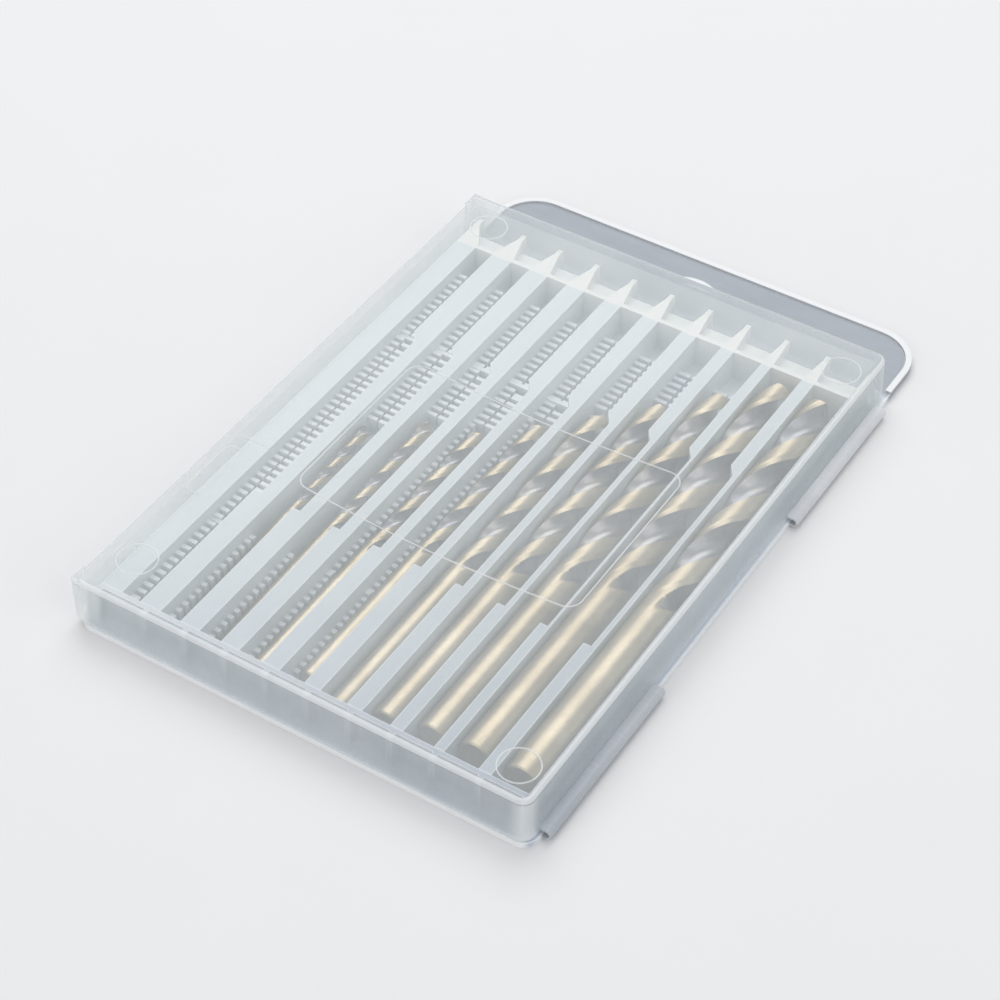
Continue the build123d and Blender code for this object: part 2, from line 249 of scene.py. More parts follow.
class SurfaceSheet(NodeSheet):
    """The node tree of one material, with its principled shader ready."""

    sharp_turn: float = 0.86
    flat_turn: float = 0.997
    edge_samples: int = 4
    shade_slant: float = 0.8
    shade_range: Flat = (-0.03, 0.09)

    def __init__(self, name: str) -> None:
        """Start a material.

        Args:
            name: The material's name.
        """
        self.material = bpy.data.materials.new(name)
        self.material.use_nodes = True
        super().__init__(self.material.node_tree)
        self.shader = self.tree.nodes.new("ShaderNodeBsdfPrincipled")
        self.output = self.tree.nodes.new("ShaderNodeOutputMaterial")
        self.surface = Signal(self, self.shader.outputs["BSDF"])
        self.feed(self.output.inputs["Surface"], self.surface)

    def finish_with(self, **inputs: Any) -> bpy.types.Material:
        """Set the principled shader's sockets.

        Args:
            inputs: Values or signals by socket name, with _ for a space.

        Returns:
            The finished material.
        """
        for key, value in inputs.items():
            self.feed(self.shader.inputs[key.replace("_", " ")], value)
        return self.material

    def fade_to_glow(self, share: Signal, colour: Colour) -> None:
        """Fade the surface into a plain glow.

        Args:
            share: Where the glow shows, from 0 to 1.
            colour: The glow's colour, at a strength of 1.
        """
        glow = self.node("ShaderNodeEmission", {}, {"Color": colour})
        self.feed(self.output.inputs["Surface"], self.mixed(share, self.surface, glow))

    def position(self) -> Signal:
        """The place on the object, in metres."""
        return self.node("ShaderNodeTexCoord", {}, {}, "Object")

    def axis(self, name: str) -> Signal:
        """One coordinate of the place on the object."""
        return self.node("ShaderNodeSeparateXYZ", {}, {"Vector": self.position()}, name)

    def product(self, first: Any, second: Any) -> Signal:
        """Multiply two colours or vectors."""
        return self.node("ShaderNodeVectorMath", {"operation": "MULTIPLY"},
                         {0: first, 1: second})

    def blend(self, share: Value, low: Any, high: Any) -> Signal:
        """Mix two colours by a share."""
        return self.node("ShaderNodeMix", {"data_type": "RGBA"},
                         {"Factor": share, 6: low, 7: high}, 2)

    def noise(self, grain: Grain) -> Signal:
        """Read a noise pattern at each place on the object.

        Args:
            grain: The pattern.

        Returns:
            The noise, from 0 to 1.
        """
        where = self.position()
        if grain.stretch:
            where = self.product(where, grain.stretch)
        return self.node("ShaderNodeTexNoise", {},
                         {"Vector": where, "Scale": grain.scale, "Detail": grain.detail,
                          "Roughness": grain.rough})

    def bump(self, height: Signal, strength: float, depth: float) -> Signal:
        """A normal bumped by a height field, whose depth is in metres."""
        inputs = {"Height": height, "Strength": strength, "Distance": depth}
        return self.node("ShaderNodeBump", {}, inputs, "Normal")

    def edges(self, radius: float) -> Signal:
        """Rise to 1 where the surface turns sharply.

        Args:
            radius: How far from an edge it reaches, in millimetres.

        Returns:
            The mask of the edges.
        """
        rounded = self.node("ShaderNodeBevel", {"samples": self.edge_samples},
                            {"Radius": radius * MM})
        face = self.node("ShaderNodeNewGeometry", {}, {}, "Normal")
        along = self.node("ShaderNodeVectorMath", {"operation": "DOT_PRODUCT"},
                          {0: rounded, 1: face}, "Value")
        return 1.0 - along.ramp(self.sharp_turn, self.flat_turn)

    def shaded(self, colour: Any, tint: Colour) -> Signal:
        """Paint shade on a colour, by a tint that grows towards the case's front right
        corner.

        Args:
            colour: The colour or its signal.
            tint: The painted shade it is multiplied by at that corner.

        Returns:
            The colour with its painted shade.
        """
        # Painted shade: the colour darkens towards the case's front right corner, standing
        # in for shade.
        along = self.axis("X") - self.axis("Y") * self.shade_slant
        share = along.ramp(*self.shade_range)
        return self.product(colour, self.blend(share, WHITE, tint))


# Finishes


@dataclass(frozen=True)
class FrostedPlastic:
    """Thin frosted polypropylene that lets part of what lies under it through."""

    name: str
    clear: Colour
    haze: Colour
    alpha: float
    alpha_spread: float
    roughness: float
    wall_alpha: float = 0.0
    edge_alpha: float = 0.0
    painted_shade_tint: Colour = WHITE
    # Colour of the painted highlight round the lid's top edge and corners.
    edge: Colour = (0.93, 0.95, 0.96)
    corner_share: float = 0.7
    corner_reach: float = 4.0
    corner_round: float = 1.0
    roof_z: float = 8.6
    top_z: float = 9.8
    edge_round: float = 0.9
    wall_fade: float = 0.1
    roof_skin: float = 0.02
    top_fade: float = 0.15
    top_skin: float = 0.01
    clouds: Grain = Grain(60.0, 4.0, 0.55)
    streaks: Grain = Grain(detail=3.0, rough=0.6, stretch=(900.0, 90.0, 300.0))
    pores: Grain = Grain(5200.0, 2.0, 0.6)
    scuffs: Grain = Grain(detail=2.0, rough=0.7, stretch=(260.0, 2400.0, 900.0))
    streak_share: float = 0.2
    haze_range: Flat = (0.3, 0.7)
    scuff_range: Flat = (0.55, 0.8)
    pore_matt: float = 0.08
    scuff_matt: float = 0.08
    pore_bump: float = 0.1

    def material(self) -> bpy.types.Material:
        """Build the material.

        Returns:
            A translucent plastic with cloudy haze, a fine grain and a painted shade towards
            the case's front right corner, milkier in its walls and with a painted highlight
            round its top edge and upright corners where those are given.
        """
        sheet = SurfaceSheet(self.name)
        fine = sheet.noise(self.pores)
        clouds = sheet.noise(self.clouds) * (1.0 - self.streak_share)
        streaks = sheet.noise(self.streaks) * self.streak_share
        haze = (clouds + streaks).ramp(*self.haze_range)
        colour = sheet.shaded(sheet.blend(haze, self.clear, self.haze), self.painted_shade_tint)
        alpha = self.alpha - self.alpha_spread / 2 + haze * self.alpha_spread
        if self.wall_alpha:
            wall, rim = self._wall(sheet), self._rim(sheet)
            corners = wall * self._corners(sheet) * self.corner_share
            alpha = (alpha + wall * (self.wall_alpha - self.alpha)
                     + rim * (self.edge_alpha - self.alpha)
                     + corners * (self.edge_alpha - self.wall_alpha))
            # Painted highlight: the rounded top edge and the upright corners are painted
            # near white, besides being made milkier.
            colour = sheet.blend((rim + corners).clamped(), colour, self.edge)
        scuffs = sheet.noise(self.scuffs).ramp(*self.scuff_range) * self.scuff_matt
        return sheet.finish_with(
            Base_Color=colour, Alpha=alpha.clamped(), IOR=PLASTIC_IOR,
            Roughness=self.roughness + fine * self.pore_matt + scuffs,
            Normal=sheet.bump(fine, self.pore_bump, PORE_DEPTH))

    def _wall(self, sheet: SurfaceSheet) -> Signal:
        """Mark the lid's walls, below its roof."""
        return 1.0 - sheet.axis("Z").ramp((self.roof_z - self.wall_fade) * MM,
                                          (self.roof_z - self.roof_skin) * MM)

    def _rim(self, sheet: SurfaceSheet) -> Signal:
        """Mark the rounded edge between the lid's walls and the top of its roof.

        Args:
            sheet: The material's sheet.

        Returns:
            The mask of the rounded edge.
        """
        height = sheet.axis("Z")
        above_walls = height.ramp((self.roof_z + self.roof_skin) * MM,
                                  (self.top_z - self.edge_round) * MM)
        below_top = 1.0 - height.ramp((self.top_z - self.top_fade) * MM,
                                      (self.top_z - self.top_skin) * MM)
        return above_walls * below_top

    def _corners(self, sheet: SurfaceSheet) -> Signal:
        """Rise to 1 at the four upright corners of the lid.

        Args:
            sheet: The material's sheet.

        Returns:
            The mask of the corners.
        """
        low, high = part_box("lid")
        near = []
        for k, name in enumerate("XY"):
            middle, half = (low[k] + high[k]) / 2, (high[k] - low[k]) / 2
            away = abs(sheet.axis(name) - middle)
            near.append(away.ramp(half - self.corner_reach * MM,
                                  half - self.corner_round * MM))
        return near[0] * near[1]


@dataclass(frozen=True)
class RackPlastic:
    """The comb rack's plastic, with painted shade: darker down in the channels, pale on the
    rib tops.
    """

    name: str
    painted_low_shade: Colour
    shade: Colour
    top: Colour
    rib_z: float
    floor_z: float = 1.0
    painted_shade_tint: Colour = (0.54, 0.58, 0.65)
    # Colour of the painted highlight on sharp edges.
    edge: Colour = (0.95, 0.96, 0.97)
    edge_width: float = 0.4
    edge_highlight_share: float = 0.85
    top_sharpness: float = 3.0
    clouds: Grain = Grain(90.0, 4.0, 0.55)
    pores: Grain = Grain(4200.0, 2.0, 0.6)
    cloud_share: float = 0.18
    cloud_range: Flat = (0.35, 0.75)
    roughness: float = 0.34
    pore_matt: float = 0.12
    pore_bump: float = 0.3

    def material(self) -> bpy.types.Material:
        """Build the material.

        Returns:
            A satin plastic with painted shade that darkens it towards the plate and towards
            the case's front right corner, and painted highlights on its edges.
        """
        sheet = SurfaceSheet(self.name)
        # Painted shade: the colour runs from a dark low colour in the channels to a pale
        # top, standing in for the shade between the ribs and teeth.
        height = sheet.axis("Z").ramp(self.floor_z * MM, self.rib_z * MM)
        fine = sheet.noise(self.pores)
        low = sheet.blend(height, self.painted_low_shade, self.shade)
        colour = sheet.blend(height ** self.top_sharpness, low, self.top)
        clouds = sheet.noise(self.clouds).ramp(*self.cloud_range) * self.cloud_share
        colour = sheet.shaded(sheet.blend(clouds, colour, self.top), self.painted_shade_tint)
        # Painted highlight: a pale colour laid on every sharp edge.
        painted_edge_highlight = sheet.edges(self.edge_width) * self.edge_highlight_share
        return sheet.finish_with(
            Base_Color=sheet.blend(painted_edge_highlight, colour, self.edge), IOR=PLASTIC_IOR,
            Roughness=self.roughness + fine * self.pore_matt,
            Normal=sheet.bump(fine, self.pore_bump, PORE_DEPTH))


@dataclass(frozen=True)
class PlatePlastic:
    """The base plate's plastic: painted highlights round its edge and on the flap's rim,
    with a clearer, greyer flap.
    """

    name: str
    floor: Colour
    flap: Colour
    flap_haze: Colour
    # Colour of the painted highlight on the border strips and sharp edges.
    edge: Colour
    rim: Colour = (0.82, 0.83, 0.84)
    painted_shade_tint: Colour = (0.66, 0.70, 0.77)
    flap_start: float = 111.0
    flap_fade: Flat = (1.5, 1.0)
    rim_z: Flat = (1.05, 1.3)
    half_width: float = 40.45
    front: float = -0.5
    border_width: float = 1.0
    border_fade: float = 0.2
    edge_width: float = 0.5
    edge_highlight_share: float = 0.85
    clouds: Grain = Grain(110.0, 4.0, 0.6)
    streaks: Grain = Grain(detail=3.0, rough=0.6, stretch=(90.0, 700.0, 300.0))
    pores: Grain = Grain(4600.0, 2.0, 0.6)
    streak_share: float = 0.5
    haze_range: Flat = (0.3, 0.7)
    roughness: float = 0.32
    pore_matt: float = 0.14
    pore_bump: float = 0.3

    def material(self) -> bpy.types.Material:
        """Build the material.

        Returns:
            A satin plastic with painted highlights on its edge strips, sharp edges and
            raised rim, and painted shade towards the front right corner.
        """
        sheet = SurfaceSheet(self.name)
        start = self.flap_start - CASE_CENTRE.y
        flap = sheet.axis("Y").ramp((start - self.flap_fade[0]) * MM,
                                    (start + self.flap_fade[1]) * MM)
        fine = sheet.noise(self.pores)
        clouds = sheet.noise(self.clouds) * (1.0 - self.streak_share)
        streaks = sheet.noise(self.streaks) * self.streak_share
        haze = (clouds + streaks).ramp(*self.haze_range)
        tone = sheet.blend(haze, self.flap, self.flap_haze)
        rise = sheet.axis("Z").ramp(self.rim_z[0] * MM, self.rim_z[1] * MM)
        painted_edge_highlight = sheet.edges(self.edge_width) * self.edge_highlight_share
        on_case = 1.0 - flap
        # Painted highlight: the border strips and sharp edges of the case part turn pale.
        painted_border_highlight = (self._border(sheet) * on_case + painted_edge_highlight * on_case).clamped()
        colour = sheet.blend(flap, sheet.shaded(self.floor, self.painted_shade_tint), tone)
        colour = sheet.blend(painted_border_highlight, colour, self.edge)
        # Painted highlight: the raised rim and the flap's sharp edges turn pale.
        colour = sheet.blend((rise + painted_edge_highlight * flap).clamped(), colour, self.rim)
        return sheet.finish_with(
            Base_Color=colour, IOR=PLASTIC_IOR,
            Roughness=self.roughness + fine * self.pore_matt,
            Normal=sheet.bump(fine, self.pore_bump, PORE_DEPTH))

    def _border(self, sheet: SurfaceSheet) -> Signal:
        """Mark the strips along the plate's long sides and its front.

        Args:
            sheet: The material's sheet.

        Returns:
            The mask of the strips.
        """
        side = abs(sheet.axis("X")).ramp((self.half_width - self.border_width) * MM,
                                         (self.half_width - self.border_fade) * MM)
        front = self.front - CASE_CENTRE.y
        ahead = 1.0 - sheet.axis("Y").ramp((front + self.border_fade) * MM,
                                           (front + self.border_width) * MM)
        return (side + ahead).clamped()


@dataclass(frozen=True)
class DrillSteel:
    """High speed steel: tempered gold on the shank and lands, grey in the flutes."""

    name: str
    colour: Colour
    tint: Colour
    roughness: float
    rings: float = 5200.0
    clouds: Grain = Grain(140.0, 4.0, 0.6)
    across_rings: float = 200.0
    temper_range: Flat = (0.3, 0.72)
    ring_matt: float = 0.12
    cloud_matt: float = 0.06
    ring_bump: float = 0.25

    def material(self) -> bpy.types.Material:
        """Build the material.

        Returns:
            A ground metal with fine rings round the axis and a cloudy temper colour.
        """
        sheet = SurfaceSheet(self.name)
        temper = sheet.noise(self.clouds)
        stretch = (self.across_rings, self.rings, self.across_rings)
        rings = sheet.noise(Grain(detail=2.0, stretch=stretch))
        share = temper.ramp(*self.temper_range)
        return sheet.finish_with(
            Base_Color=sheet.blend(share, self.colour, self.tint), Metallic=1.0,
            Roughness=self.roughness + rings * self.ring_matt + temper * self.cloud_matt,
            Normal=sheet.bump(rings, self.ring_bump, RING_DEPTH))


class Finish(Enum):
    """The finishes of the case and its drills."""

    LID = FrostedPlastic("lid_frosted", (0.77, 0.82, 0.83), (0.83, 0.87, 0.88),
                         alpha=0.2, alpha_spread=0.04, roughness=0.24,
                         wall_alpha=0.35, edge_alpha=0.72)
    MARK = FrostedPlastic("lid_mark", (0.93, 0.94, 0.95), (0.97, 0.97, 0.98),
                          alpha=0.42, alpha_spread=0.1, roughness=0.24)
    WEB = FrostedPlastic("hinge_web", (0.90, 0.91, 0.93), (0.96, 0.97, 0.98),
                         alpha=0.85, alpha_spread=0.1, roughness=0.22,
                         painted_shade_tint=(0.58, 0.61, 0.65))
    # The rack finishes run from a painted low shade in the channels up to a pale, partly
    # highlit top colour.
    RACK = RackPlastic("rack_plastic", (0.80, 0.85, 0.88), (0.80, 0.85, 0.87),
                       (0.78, 0.83, 0.85), rib_z=6.5)
    FRONT = RackPlastic("rack_front_plastic", (0.70, 0.73, 0.77), (0.72, 0.75, 0.80),
                        (0.88, 0.91, 0.93), rib_z=6.5, painted_shade_tint=(0.39, 0.43, 0.52))
    REAR = RackPlastic("rack_rear_plastic", (0.80, 0.85, 0.86), (0.88, 0.90, 0.90),
                       (0.96, 0.95, 0.91), rib_z=6.5, painted_shade_tint=(0.86, 0.88, 0.92))
    COMB = RackPlastic("comb_plastic", (0.66, 0.71, 0.79), (0.82, 0.86, 0.90),
                       (0.94, 0.96, 0.97), rib_z=4.2)
    PLATE = PlatePlastic("plate_plastic", (0.86, 0.90, 0.94), (0.34, 0.37, 0.41),
                         (0.38, 0.41, 0.45), (0.95, 0.96, 0.97))
    GOLD = DrillSteel("drill_gold", (0.50, 0.41, 0.27), (0.64, 0.54, 0.38), 0.28)
    FLUTE = DrillSteel("drill_flute", (0.32, 0.32, 0.35), (0.50, 0.47, 0.42), 0.24,
                       rings=2600.0)

    def build(self) -> bpy.types.Material:
        """The finish's material, made once."""
        made = bpy.data.materials.get(self.value.name)
        return made or self.value.material()


# Mesh building


def mesh_piece(name: str, vertices: Iterable[Sequence[float]],
               faces: Iterable[Sequence[int]], crease: float = 35.0) -> bpy.types.Object:
    """Make an object from points and faces, with shared points merged.

    Args:
        name: The object's name.
        vertices: Points in metres.
        faces: Corner numbers of each face.
        crease: Edges that turn by this many degrees or more stay crisp.

    Returns:
        The new object in the scene.
    """
    mesh = bpy.data.meshes.new(name)
    mesh.from_pydata([tuple(v) for v in vertices], [], [tuple(f) for f in faces])
    work = bmesh.new()
    work.from_mesh(mesh)
    bmesh.ops.remove_doubles(work, verts=work.verts, dist=MERGE_DISTANCE)
    bmesh.ops.recalc_face_normals(work, faces=work.faces)
    for face in work.faces:
        face.smooth = True
    for edge in work.edges:
        edge.smooth = edge.calc_face_angle(0.0) < math.radians(crease)
    work.to_mesh(mesh)
    work.free()
    piece = bpy.data.objects.new(name, mesh)
    bpy.context.scene.collection.objects.link(piece)
    return piece


def bands(rings: int, sides: int, closed: bool = False) -> list[Face]:
    """Join neighbouring rings of points with four-sided faces.

    Args:
        rings: How many rings there are.
        sides: Points in each ring.
        closed: Whether the last ring joins the first.

    Returns:
        The faces.
    """
    faces: list[Face] = []
    for i in range(rings if closed else rings - 1):
        j = (i + 1) % rings
        for k in range(sides):
            m = (k + 1) % sides
            faces.append((i * sides + k, i * sides + m, j * sides + m, j * sides + k))
    return faces


def caps(rings: int, sides: int) -> list[Face]:
    """Close the first and the last ring of a sweep."""
    return [tuple(range(sides)), tuple(range((rings - 1) * sides, rings * sides))]


def turns(count: int) -> list[float]:
    """Angles spread evenly round a full turn, in radians."""
    return [FULL_TURN * k / count for k in range(count)]


def tube(points: Sequence[Vector], radius: float, closed: bool,
         sides: int = 8) -> tuple[list[Vector], list[Face]]:
    """Sweep a small round bead along a path that lies flat.

    Args:
        points: The path in metres.
        radius: The bead's radius in metres.
        closed: Whether the path joins its start.
        sides: Corners of the bead's section.

    Returns:
        Points and faces.
    """
    vertices: list[Vector] = []
    count = len(points)
    for i, point in enumerate(points):
        before = points[i - 1] if closed or i else point
        after = points[(i + 1) % count] if closed or i < count - 1 else point
        across = (after - before).cross(UP).normalized()
        for turn in turns(sides):
            vertices.append(point + across * radius * math.cos(turn)
                            + UP * radius * math.sin(turn))
    faces = bands(count, sides, closed)
    return vertices, faces if closed else faces + caps(count, sides)


def dress(piece: bpy.types.Object, *finishes: Finish) -> None:
    """Give a piece its finishes in slot order.

    Args:
        piece: The piece.
        finishes: One finish for each material slot.
    """
    piece.data.materials.clear()
    for finish in finishes:
        piece.data.materials.append(finish.build())


# The case


@dataclass
class CaseShell:
    """The solids that keep their own shape and only get a finish."""

    finishes: tuple[tuple[str, Finish], ...] = (
        ("base_plate", Finish.PLATE),
        ("rack_", Finish.RACK),
        ("rack_front_wall", Finish.FRONT),
        ("rack_rear_wall", Finish.REAR),
        ("comb_", Finish.COMB),
        ("lid", Finish.LID),
    )

    def build(self) -> None:
        """Dress every solid whose name starts as the list says."""
        for start, finish in self.finishes:
            for solid in list(bpy.data.objects):
                if solid.name.startswith(start) and solid.data.materials:
                    self._redress(solid, finish)

    @staticmethod
    def _redress(solid: bpy.types.Object, finish: Finish) -> None:
        """Give every slot of a solid one finish."""
        for slot in solid.material_slots:
            slot.material = finish.build()


@dataclass
class HingeWeb:
    """One folded strip of the living hinge, from the plate's edge to the lid's rim."""

    node: str
    start: float
    end: float
    pivot_x: float = 81.5
    pivot_z: float = 1.15
    outer: float = 0.85
    thickness: float = 0.35
    plate_edge: float = 80.9
    plate_lap: float = 0.3
    lid_edge: float = 80.35
    bend_steps: int = 14
    rows: int = 12
    crease: float = 50.0

    def build(self) -> bpy.types.Object:
        """Make the strip, folded round the hinge axis from the plate to the lid.

        Returns:
            The strip in place of its solid.
        """
        outline = self._outline()
        size = len(outline)
        vertices: list[Vector] = []
        for i in range(self.rows + 1):
            y = self.start + (self.end - self.start) * i / self.rows
            vertices += [place(x, y, z) for x, z in outline]
        faces = bands(self.rows + 1, size)
        for base in (0, self.rows * size):
            for k in range(size // 2 - 1):
                faces.append((base + k, base + k + 1, base + size - 2 - k,
                              base + size - 1 - k))
        web = mesh_piece(f"{self.node}_strip", vertices, faces, self.crease)
        dress(web, Finish.WEB)
        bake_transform(web)
        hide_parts(self.node)
        return web

    def _outline(self) -> list[Flat]:
        """Points round the strip's section: its outer side out, its inner side back."""
        inner_side = self._side(self.outer - self.thickness)
        return self._side(self.outer) + inner_side[::-1]

    def _side(self, radius: float) -> list[Flat]:
        """Points along one side of the strip's section, from the plate to the lid.

        Args:
            radius: The side's distance from the hinge axis.

        Returns:
            The points, as x and z.
        """
        side = [(self.plate_edge - self.plate_lap, self.pivot_z - radius)]
        for k in range(self.bend_steps + 1):
            turn = math.pi * k / self.bend_steps - math.pi / 2
            side.append((self.pivot_x + radius * math.cos(turn),
                         self.pivot_z + radius * math.sin(turn)))
        return side + [(self.lid_edge, self.pivot_z + radius)]


@dataclass
class Hinge:
    """The two strips of the living hinge, with where each starts and ends."""

    strips: tuple[tuple[str, float, float], ...] = (
        ("hinge_web_front", 2.7, 34.7),
        ("hinge_web_rear", 76.3, 107.2),
    )

    def build(self) -> list[bpy.types.Object]:
        """Make both strips."""
        return [HingeWeb(*strip).build() for strip in self.strips]


@dataclass(frozen=True)
class RoundedFrame:
    """A rectangle with round corners, lying on the lid."""

    left: float
    right: float
    front: float
    rear: float
    corner: float
    bow: float = 0.0
    corner_steps: int = 8
    bow_steps: int = 12

    def path(self) -> list[Flat]:
        """Points round the frame, its front and rear edges bowed forward.

        Returns:
            The points, as x and y.
        """
        x0, x1 = self.left + self.corner, self.right - self.corner
        y0, y1 = self.front + self.corner, self.rear - self.corner
        return (self._quarter(x1, y1, 0) + self._bowed(x1, x0, self.rear)
                + self._quarter(x0, y1, 90) + self._quarter(x0, y0, 180)
                + self._bowed(x0, x1, self.front) + self._quarter(x1, y0, 270))

    def _quarter(self, x: float, y: float, start: float) -> list[Flat]:
        """Points round one corner.

        Args:
            x: The corner's middle.
            y: The corner's middle.
            start: The angle of its first point, in degrees.

        Returns:
            The points, as x and y.
        """
        steps = range(self.corner_steps + 1)
        angles = [math.radians(start + 90 * k / self.corner_steps) for k in steps]
        return [(x + self.corner * math.cos(a), y + self.corner * math.sin(a))
                for a in angles]

    def _bowed(self, start: float, end: float, y: float) -> list[Flat]:
        """Points along a bowed edge, or none if the frame's edges are straight.

        Args:
            start: Where the edge starts along X.
            end: Where it ends.
            y: Where its ends lie.

        Returns:
            The points between its ends, as x and y.
        """
        if not self.bow:
            return []
        shares = [k / self.bow_steps for k in range(1, self.bow_steps)]
        return [(start + (end - start) * share, y - self.bow * math.sin(math.pi * share))
                for share in shares]


@dataclass
class LidMarks:
    """The fine raised marks on the lid: label frame, ejector rings and margin lines."""

    top: float = 9.8
    bead: float = 0.13
    bead_rise: float = 0.35
    crease: float = 80.0
    ring_radius: float = 3.2
    ring_steps: int = 48
    rings: tuple[Flat, ...] = ((75.4, 5.25), (75.2, 103.5), (7.1, 104.0), (5.9, 8.3))
    label: RoundedFrame = RoundedFrame(16.0, 66.5, 34.4, 67.9, corner=2.5, bow=1.1)
    margin: RoundedFrame = RoundedFrame(2.3, 5.0, 24.4, 36.0, corner=1.2)
    margin_line: tuple[Flat, ...] = ((2.4, 38.8), (5.3, 38.75), (8.25, 38.7))

    def build(self) -> list[bpy.types.Object]:
        """Make every mark.

        Returns:
            The marks, riding on the lid.
        """
        marks = [self._bead("lid_label_frame", self.label.path())]
        for i, middle in enumerate(self.rings):
            marks.append(self._bead(f"lid_ejector_ring_{i + 1}", self._ring(*middle)))
        marks.append(self._bead("lid_margin_line", self.margin_line, closed=False))
        marks.append(self._bead("lid_margin_frame", self.margin.path()))
        for mark in marks:
            dress(mark, Finish.MARK)
            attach(mark, "lid")
        return marks

    def _bead(self, name: str, path: Sequence[Flat],
              closed: bool = True) -> bpy.types.Object:
        """Lay one bead on the lid's roof, sunk in by part of its height.

        Args:
            name: The mark's name.
            path: Its points, as x and y.
            closed: Whether it joins its start.

        Returns:
            The mark.
        """
        points = [place(x, y, self.top - self.bead * self.bead_rise) for x, y in path]
        vertices, faces = tube(points, self.bead * MM, closed)
        return mesh_piece(name, vertices, faces, self.crease)

    def _ring(self, x: float, y: float) -> list[Flat]:
        """Points round one ejector ring.

        Args:
            x: The ring's middle.
            y: The ring's middle.

        Returns:
            The points, as x and y.
        """
        return [(x + self.ring_radius * math.cos(turn),
                 y + self.ring_radius * math.sin(turn)) for turn in turns(self.ring_steps)]


# The drills


@dataclass
class TwistDrill:
    """One twist drill with ground flutes, laid in its channel.

    The first five sizes differ from drill to drill: the channel it lies in, its diameter,
    its length, the length of its flutes and the gap in front of its butt.
    """

    channel: int
    diameter: float
    length: float
    flute: float
    front_gap: float
    slot_start: float = 4.0
    floor_z: float = 1.0
    bed_gap: float = 0.1
    side_gap: float = 0.15
    first_rib_x: float = 9.5
    channel_pitch: float = 7.5
    last_channel: int = 10
    right_wall_x: float = 77.9
    loose_under: float = 3.0
    drift_share: float = 1.4
    raised_under: float = 3.6
    rise_share: float = 0.78
    point_angle: float = 118.0
    helix_lead: float = 5.44
    web_share: float = 0.12
    bite_share: float = 0.42
    relief: float = 0.025
    relief_end: float = 75.0
    relief_fade: float = 6.0
    run_in: float = 1.3
    chamfer: float = 0.25
    sides: int = 96
    shank_steps: int = 8
    rings_per_turn: int = 40
    least_rings: int = 8
    point_shares: tuple[float, ...] = (1.0, 0.72, 0.44, 0.16)
    flute_reach: float = 0.9
    flute_stop: float = 0.55
    crease: float = 38.0
    radius: float = field(init=False)
    lead: float = field(init=False)
    flute_start: float = field(init=False)
    cone: float = field(init=False)

    def __post_init__(self) -> None:
        """Work out the sizes that follow from the others."""
        self.radius = self.diameter / 2
        self.lead = self.helix_lead * self.diameter
        self.flute_start = self.length - self.flute
        self.cone = math.tan(math.radians(self.point_angle / 2))

    @property
    def node(self) -> str:
        """The name of the drill's solid."""
        return f"drill_bit_{self.diameter:.1f}mm".replace(".", "_")

    def build(self) -> bpy.types.Object:
        """Make the drill.

        Returns:
            The drill in place of its solid, riding on its own body.
        """
        rings = self._shank() + self._fluted_length() + self._point()
        axis = self._axis()
        vertices = [axis @ vertex for ring in rings for vertex in ring]
        faces = bands(len(rings), self.sides) + caps(len(rings), self.sides)
        drill = mesh_piece(f"{self.node}_ground", vertices, faces, self.crease)
        self._finish(drill, axis)
        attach(drill, self.node)
        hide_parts(self.node)
        return drill

    def _axis(self) -> Matrix:
        """Place the drill in its channel, a thin one askew and with its tip raised.

        Returns:
            The drill's own frame in the case, with Z along the drill.
        """
        wall = self.first_rib_x + self.channel_pitch * (self.channel - 1)
        if self.channel == self.last_channel:
            wall = self.right_wall_x
        drift = max(0.0, self.loose_under - self.diameter) * self.drift_share
        rise = max(0.0, self.raised_under - self.diameter) * self.rise_share
        run = math.sqrt(self.length ** 2 - drift ** 2 - rise ** 2)
        z = Vector((-drift, run, rise)).normalized()
        y = z.cross(Vector((1, 0, 0))).normalized()
        x = y.cross(z)
        turn = Matrix((x, y, z)).transposed().to_4x4()
        butt = place(wall - self.radius - self.side_gap, self.slot_start + self.front_gap,
                     self.floor_z + self.bed_gap + self.radius)
        return Matrix.Translation(butt) @ turn @ Matrix.Scale(MM, 4)

    def _shank(self) -> list[list[Vector]]:
        """Rings of the round shank, from its chamfered butt to the flutes.

        Returns:
            The rings.
        """
        rings = [self._ring(0.0, 0.0, self.radius - self.chamfer),
                 self._ring(self.chamfer, 0.0, self.radius)]
        for step in range(1, self.shank_steps):
            height = self.flute_start * step / self.shank_steps
            rings.append(self._ring(height, 0.0, self.radius))
        return rings

    def _fluted_length(self) -> list[list[Vector]]:
        """Rings of the fluted length, whose flutes deepen over the run-in.

        Returns:
            The rings.
        """
        count = max(self.least_rings,
                    math.ceil(self.flute / self.lead * self.rings_per_turn))
        shoulder = self.length - self.radius / self.cone
        rings = []
        for k in range(count + 1):
            height = self.flute_start + (shoulder - self.flute_start) * k / count
            ramp = min(1.0, (height - self.flute_start) / (self.run_in * self.diameter))
            rings.append(self._ring(height, ramp * ramp * (3 - 2 * ramp), self.radius))
        return rings

    def _point(self) -> list[list[Vector]]:
        """Rings of the ground point, from its shoulder in to its tip.

        Returns:
            The rings.
        """
        rings = []
        for share in self.point_shares:
            reaches = [(self._reach(angle, 1.0) * share, angle)
                       for angle in turns(self.sides)]
            rings.append([self._spun(reach, angle, self.length - reach / self.cone)
                          for reach, angle in reaches])
        return rings

    def _ring(self, height: float, depth: float, limit: float) -> list[Vector]:
        """Points round the drill at one height.

        Args:
            height: How far along the drill, from its butt.
            depth: How deep the flutes are there, from 0 to 1.
            limit: The largest radius there.

        Returns:
            The points.
        """
        return [self._spun(min(self._reach(angle, depth), limit), angle, height)
                for angle in turns(self.sides)]

